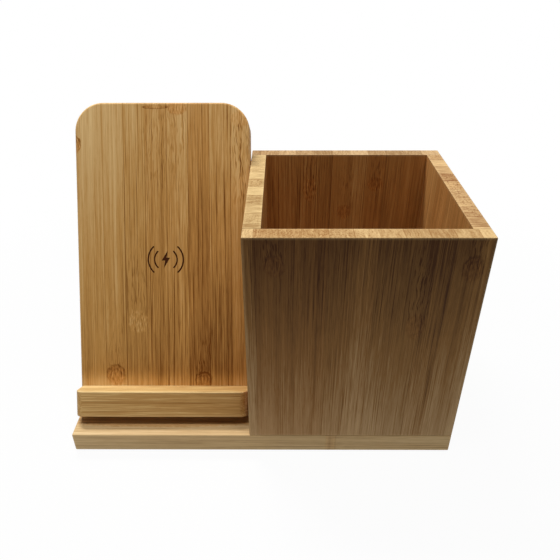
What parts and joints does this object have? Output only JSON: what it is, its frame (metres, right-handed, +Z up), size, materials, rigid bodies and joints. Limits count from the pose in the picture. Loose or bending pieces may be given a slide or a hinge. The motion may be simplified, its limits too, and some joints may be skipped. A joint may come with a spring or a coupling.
{
  "type": "wireless charger pen holder",
  "caption": "Bamboo desk stand with a leaning wireless charging board for a phone, a small ledge, and a square open-topped pen box, all on one long flat base.",
  "frame": {"origin": "on the desk, under the middle of the whole stand", "axes": "+X runs to the right along the base, +Y to the back, +Z up"},
  "size_m": [0.17, 0.0921, 0.1353],
  "materials": {
    "base_bamboo": "pale laminated bamboo, satin clear coat",
    "box_bamboo": "laminated bamboo with upright grain, satin clear coat",
    "board_bamboo": "honey-coloured laminated bamboo, satin clear coat",
    "dowel_beech": "raw beech",
    "screw_steel": "zinc plated",
    "foot_rubber": "matt black",
    "coil_copper": "enamelled copper",
    "pad_film": "white adhesive film",
    "ferrite": "dark grey ferrite",
    "circuit_laminate": "green solder mask",
    "chip_resin": "black moulding resin",
    "capacitor_ceramic": "tan ceramic",
    "capacitor_can": "plain can"
  },
  "bodies": {
    "root": {"base_plate": "base_bamboo", "box_front_panel": "box_bamboo", "box_back_panel": "box_bamboo", "box_left_panel": "box_bamboo", "box_right_panel": "box_bamboo", "charging_board": "board_bamboo", "phone_ledge": "base_bamboo", "back_cover": "board_bamboo", "box_dowel_front_left": "dowel_beech", "box_dowel_front_right": "dowel_beech", "box_dowel_back_left": "dowel_beech", "box_dowel_back_right": "dowel_beech", "ledge_dowel_left": "dowel_beech", "ledge_dowel_right": "dowel_beech", "board_screw_left": "screw_steel", "board_screw_right": "screw_steel", "cover_screw_1": "screw_steel", "cover_screw_2": "screw_steel", "cover_screw_3": "screw_steel", "cover_screw_4": "screw_steel", "rubber_foot_1": "foot_rubber", "rubber_foot_2": "foot_rubber", "rubber_foot_3": "foot_rubber", "rubber_foot_4": "foot_rubber", "transmitter_coil": "coil_copper", "adhesive_disc": "pad_film", "foam_pad": "pad_film", "ferrite_sheet": "ferrite", "circuit_board": "circuit_laminate", "controller_chip": "chip_resin", "power_transistor_left": "chip_resin", "power_transistor_right": "chip_resin", "power_inductor": "chip_resin", "resonance_capacitor_1": "capacitor_ceramic", "resonance_capacitor_2": "capacitor_ceramic", "resonance_capacitor_3": "capacitor_ceramic", "input_capacitor": "capacitor_can", "usb_shell": "screw_steel", "usb_tongue": "chip_resin"}
  },
  "joints": []
}
